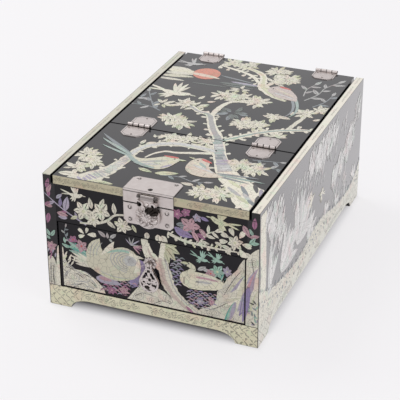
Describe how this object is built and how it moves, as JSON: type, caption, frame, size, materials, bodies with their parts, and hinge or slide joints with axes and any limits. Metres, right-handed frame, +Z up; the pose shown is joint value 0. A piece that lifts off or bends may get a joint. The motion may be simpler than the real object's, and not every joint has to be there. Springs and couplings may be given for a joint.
{
  "type": "dressing table",
  "caption": "Low lacquered vanity box on bracket feet, with pearl inlay bands, a drawer with a drop pull, and a folding two-leaf lid that carries a mirror underneath and closes with a hasp.",
  "frame": {"origin": "under the middle of the case, on the surface that the feet stand on", "axes": "+X to the right seen from the drawer, +Y from the drawer to the back hinges, +Z up"},
  "size_m": [0.2, 0.3149, 0.1356],
  "materials": {
    "black_lacquer": "black lacquer polished to a gloss over wood",
    "pearl_inlay": "mother-of-pearl strips under clear lacquer",
    "inner_wood": "satin brown lacquer over wood",
    "velvet": "short pile velvet",
    "mirror_glass": "silvered glass",
    "white_bronze": "satin white bronze, cast and engraved",
    "steel_pin": "drawn wire"
  },
  "bodies": {
    "case": {"side_panel_left": "black_lacquer", "side_panel_right": "black_lacquer", "rim_strip_left": "black_lacquer", "rim_strip_right": "black_lacquer", "back_panel": "black_lacquer", "base_rail": "black_lacquer", "front_rail": "black_lacquer", "drawer_deck": "inner_wood", "compartment_floor": "inner_wood", "compartment_lining": "velvet", "rim_band_left": "pearl_inlay", "rim_band_right": "pearl_inlay", "base_band_left": "pearl_inlay", "base_band_right": "pearl_inlay", "base_band_front": "pearl_inlay", "back_hinge_case_left": "white_bronze", "back_hinge_case_right": "white_bronze", "back_hinge_pin_left": "steel_pin", "back_hinge_pin_right": "steel_pin", "hinge_nails_case": "white_bronze", "lock_rail_plate": "white_bronze", "lock_rail_rivets": "white_bronze", "catch_stud": "white_bronze"},
    "rear_leaf": {"lid_rear_leaf": "black_lacquer", "mirror_glass": "mirror_glass", "mirror_frame_left": "inner_wood", "mirror_frame_right": "inner_wood", "mirror_frame_front": "inner_wood", "mirror_frame_rear": "inner_wood", "seam_hinge_rear_left": "white_bronze", "seam_hinge_rear_right": "white_bronze", "seam_hinge_pin_left": "steel_pin", "seam_hinge_pin_right": "steel_pin", "back_hinge_lid_left": "white_bronze", "back_hinge_lid_right": "white_bronze", "hinge_nails_rear_leaf": "white_bronze"},
    "front_leaf": {"lid_front_leaf": "black_lacquer", "lid_front_band": "pearl_inlay", "seam_hinge_front_left": "white_bronze", "seam_hinge_front_right": "white_bronze", "hinge_nails_front_leaf": "white_bronze", "lock_lid_plate": "white_bronze", "lock_lid_rivets": "white_bronze", "hasp_pin": "steel_pin"},
    "hasp": {"hasp": "white_bronze"},
    "drawer": {"drawer_front": "black_lacquer", "drawer_side_left": "inner_wood", "drawer_side_right": "inner_wood", "drawer_back": "inner_wood", "drawer_bottom": "inner_wood", "drawer_lining": "velvet", "pull_rosette": "white_bronze", "pull_post": "white_bronze"},
    "drawer_pull": {"pull_drop": "white_bronze", "pull_pin": "steel_pin"}
  },
  "joints": [
    {"name": "rear_leaf_lift", "type": "hinge", "parent": "case", "child": "rear_leaf", "pos_m": [0, 0.15384, 0.13334], "axis": [-1, 0, 0], "range_deg": [0, 105]},
    {"name": "front_leaf_fold", "type": "hinge", "parent": "rear_leaf", "child": "front_leaf", "pos_m": [0, -0.0355, 0.1339], "axis": [-1, 0, 0], "range_deg": [0, 180]},
    {"name": "hasp_swing", "type": "hinge", "parent": "front_leaf", "child": "hasp", "pos_m": [0, -0.1544, 0.1284], "axis": [-1, 0, 0], "range_deg": [0, 90]},
    {"name": "drawer_slide", "type": "slide", "parent": "case", "child": "drawer", "axis": [0, -1, 0], "range_m": [0, 0.2]},
    {"name": "pull_swing", "type": "hinge", "parent": "drawer", "child": "drawer_pull", "pos_m": [0, -0.1549, 0.063], "axis": [-1, 0, 0], "range_deg": [0, 80]}
  ]
}
